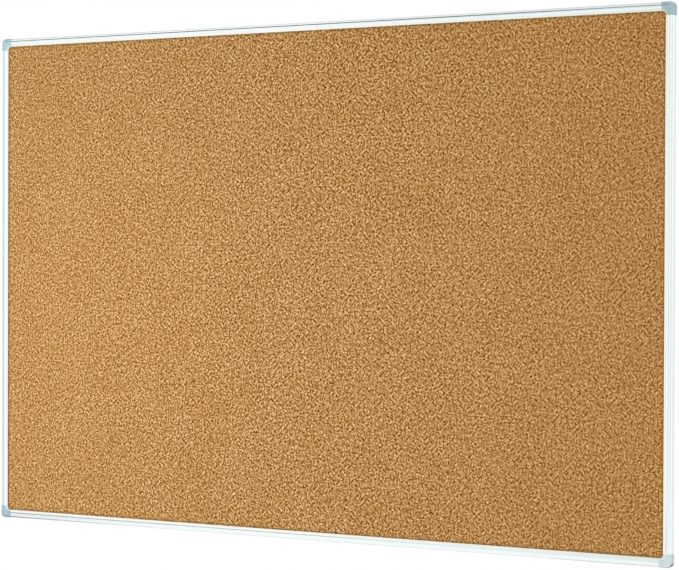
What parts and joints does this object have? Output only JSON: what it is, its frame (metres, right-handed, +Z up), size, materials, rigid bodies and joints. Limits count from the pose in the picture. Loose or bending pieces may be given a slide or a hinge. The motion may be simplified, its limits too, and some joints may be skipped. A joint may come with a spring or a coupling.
{
  "type": "cork notice board",
  "caption": "Wall notice board with a cork face in a slim aluminium frame with small plastic corners, and keyhole hangers that slide along the back of the top rail.",
  "frame": {"origin": "centre of the board on the wall plane, which is the back of the hangers and of the wall pads", "axes": "+X along the width to the right as seen from the front, +Y from the cork into the wall, +Z up"},
  "size_m": [0.901, 0.0113, 0.601],
  "materials": {
    "cork": "granulated cork, matt, with darker and lighter grains of 1 to 4 mm",
    "softboard": "soft fibreboard, matt",
    "kraft_backing": "brown backing sheet, matt",
    "anodised_rail": "silver anodised extrusion, satin, fine lines along its length",
    "corner_plastic": "light blue-grey moulded plastic, fine texture",
    "zinc_screw": "bright zinc plating",
    "zinc_plate": "zinc plated steel, satin",
    "rubber_pad": "black rubber, matt"
  },
  "bodies": {
    "board": {"cork_sheet": "cork", "softboard_core": "softboard", "backing_sheet": "kraft_backing", "rail_bottom": "anodised_rail", "rail_right": "anodised_rail", "rail_top": "anodised_rail", "rail_left": "anodised_rail", "corner_bottom_left": "corner_plastic", "corner_bottom_right": "corner_plastic", "corner_top_right": "corner_plastic", "corner_top_left": "corner_plastic", "corner_screw_bottom_left_1": "zinc_screw", "corner_screw_bottom_left_2": "zinc_screw", "corner_screw_bottom_right_1": "zinc_screw", "corner_screw_bottom_right_2": "zinc_screw", "corner_screw_top_right_1": "zinc_screw", "corner_screw_top_right_2": "zinc_screw", "corner_screw_top_left_1": "zinc_screw", "corner_screw_top_left_2": "zinc_screw", "wall_pad_left": "rubber_pad", "wall_pad_right": "rubber_pad"},
    "hanger_left": {"hanger_left": "zinc_plate"},
    "hanger_right": {"hanger_right": "zinc_plate"}
  },
  "joints": [
    {"name": "hanger_left_slide", "type": "slide", "parent": "board", "child": "hanger_left", "axis": [1, 0, 0], "range_m": [-0.1, 0.28]},
    {"name": "hanger_right_slide", "type": "slide", "parent": "board", "child": "hanger_right", "axis": [1, 0, 0], "range_m": [-0.28, 0.1]}
  ]
}
